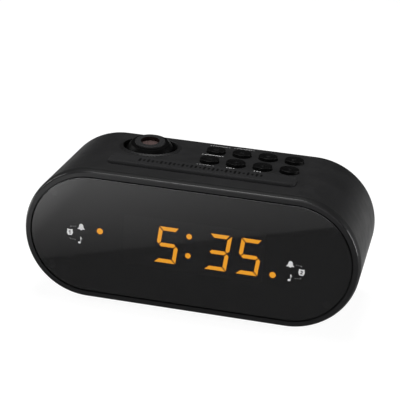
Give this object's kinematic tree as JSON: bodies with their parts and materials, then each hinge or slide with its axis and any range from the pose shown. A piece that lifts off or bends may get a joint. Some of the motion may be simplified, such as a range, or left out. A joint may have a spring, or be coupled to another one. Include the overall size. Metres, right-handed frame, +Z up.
{
  "type": "projection alarm clock",
  "caption": "Stadium-shaped mains clock radio with an amber LED time display behind a smoked lens, push buttons, a snooze bar and a swivelling, tilting ball projector.",
  "frame": {"origin": "bottom centre of the case, on the surface that the feet rest on", "axes": "+X to the right along the case, +Y to the back, +Z up"},
  "size_m": [0.2, 0.081, 0.0873],
  "materials": {
    "housing_black": "fine matte texture",
    "cover_black": "fine matte texture",
    "bezel_black": "satin",
    "button_black": "smooth matte",
    "bar_black": "matte",
    "head_black": "smooth satin",
    "lens_smoked": "gloss",
    "lens_clear": "gloss",
    "display_black": "matte",
    "led_amber": "diffused",
    "led_red": "diffused",
    "led_dark": "diffused",
    "board_green": "solder resist",
    "chip_black": "moulded",
    "can_tin": "drawn",
    "plug_cream": "moulded",
    "ribbon_grey": "flat cable",
    "screw_steel": "zinc plated",
    "spring_steel": "wire",
    "contact_plated": "nickel plated",
    "cell_jacket": "plain jacket",
    "rubber_black": "matte",
    "socket_black": "moulded",
    "cone_paper": "pressed",
    "magnet_black": "painted ferrite",
    "sleeve_white": "moulded"
  },
  "bodies": {
    "case": {"antenna_grommet": "rubber_black", "battery_cells": "cell_jacket", "battery_contacts": "contact_plated", "board_connectors": "plug_cream", "board_screws": "screw_steel", "button_pcb": "board_green", "capacitors": "can_tin", "case_screws": "screw_steel", "control_chips": "chip_black", "dc_jack": "socket_black", "display_lens": "lens_smoked", "display_pcb": "board_green", "front_bezel": "bezel_black", "indicator_leds": "led_amber", "led_display_housing": "display_black", "led_segments_lit": "led_amber", "led_segments_unlit": "led_dark", "main_housing": "housing_black", "main_pcb": "board_green", "projector_retainer": "housing_black", "projector_trim_ring": "bezel_black", "rear_cover": "cover_black", "ribbon_cables": "ribbon_grey", "rubber_feet": "rubber_black", "snooze_springs": "spring_steel", "speaker_cone": "cone_paper", "speaker_frame": "screw_steel", "speaker_magnet": "magnet_black", "tact_switches": "chip_black", "tuner_shield": "can_tin"},
    "battery_door": {"battery_door": "cover_black"},
    "snooze_bar": {"snooze_bar": "bar_black", "snooze_plungers": "chip_black"},
    "projector_turntable": {"projector_turntable": "housing_black", "tilt_pins": "screw_steel"},
    "projector_head": {"projector_head_upper": "head_black", "projector_head_lower": "head_black", "optics_sleeve": "sleeve_white", "condenser_lens": "lens_clear", "projector_lcd": "lens_clear", "projector_led": "led_red"},
    "focus_ring": {"focus_ring": "head_black", "projection_lens": "lens_clear"},
    "button_front_1": {"button_front_1": "button_black", "plunger_front_1": "chip_black"},
    "button_front_2": {"button_front_2": "button_black", "plunger_front_2": "chip_black"},
    "button_front_3": {"button_front_3": "button_black", "plunger_front_3": "chip_black"},
    "button_front_4": {"button_front_4": "button_black", "plunger_front_4": "chip_black"},
    "button_rear_1": {"button_rear_1": "button_black", "plunger_rear_1": "chip_black"},
    "button_rear_2": {"button_rear_2": "button_black", "plunger_rear_2": "chip_black"},
    "button_rear_3": {"button_rear_3": "button_black", "plunger_rear_3": "chip_black"},
    "button_rear_4": {"button_rear_4": "button_black", "plunger_rear_4": "chip_black"}
  },
  "joints": [
    {"name": "button_front_1_press", "type": "slide", "parent": "case", "child": "button_front_1", "axis": [0, 0, -1], "range_m": [0, 0.0007], "stiffness_N_per_m": 400, "springref_m": -0.001},
    {"name": "button_front_2_press", "type": "slide", "parent": "case", "child": "button_front_2", "axis": [0, 0, -1], "range_m": [0, 0.0007], "stiffness_N_per_m": 400, "springref_m": -0.001},
    {"name": "button_front_3_press", "type": "slide", "parent": "case", "child": "button_front_3", "axis": [0, 0, -1], "range_m": [0, 0.0007], "stiffness_N_per_m": 400, "springref_m": -0.001},
    {"name": "button_front_4_press", "type": "slide", "parent": "case", "child": "button_front_4", "axis": [0, 0, -1], "range_m": [0, 0.0007], "stiffness_N_per_m": 400, "springref_m": -0.001},
    {"name": "button_rear_1_press", "type": "slide", "parent": "case", "child": "button_rear_1", "axis": [0, 0, -1], "range_m": [0, 0.0007], "stiffness_N_per_m": 400, "springref_m": -0.001},
    {"name": "button_rear_2_press", "type": "slide", "parent": "case", "child": "button_rear_2", "axis": [0, 0, -1], "range_m": [0, 0.0007], "stiffness_N_per_m": 400, "springref_m": -0.001},
    {"name": "button_rear_3_press", "type": "slide", "parent": "case", "child": "button_rear_3", "axis": [0, 0, -1], "range_m": [0, 0.0007], "stiffness_N_per_m": 400, "springref_m": -0.001},
    {"name": "button_rear_4_press", "type": "slide", "parent": "case", "child": "button_rear_4", "axis": [0, 0, -1], "range_m": [0, 0.0007], "stiffness_N_per_m": 400, "springref_m": -0.001},
    {"name": "snooze_press", "type": "slide", "parent": "case", "child": "snooze_bar", "axis": [0, 0, -1], "range_m": [0, 0.001], "stiffness_N_per_m": 500, "springref_m": -0.001, "deforming": ["snooze_springs"]},
    {"name": "battery_door_hinge", "type": "hinge", "parent": "case", "child": "battery_door", "pos_m": [-0.044, 0.0391, 0.0246], "axis": [-1, 0, 0], "range_deg": [0, 95]},
    {"name": "projector_swivel", "type": "hinge", "parent": "case", "child": "projector_turntable", "pos_m": [-0.0396, 0.01685, 0.0733], "axis": [0, 0, 1], "range_deg": [-90, 90]},
    {"name": "projector_tilt", "type": "hinge", "parent": "projector_turntable", "child": "projector_head", "pos_m": [-0.0396, 0.01685, 0.0733], "axis": [1, 0, 0], "range_deg": [-38.5, 21.5]},
    {"name": "focus_turn", "type": "hinge", "parent": "projector_head", "child": "focus_ring", "pos_m": [-0.0396, 0.01685, 0.0733], "axis": [0, -0.1478, 0.989], "range_deg": [-60, 60]}
  ]
}
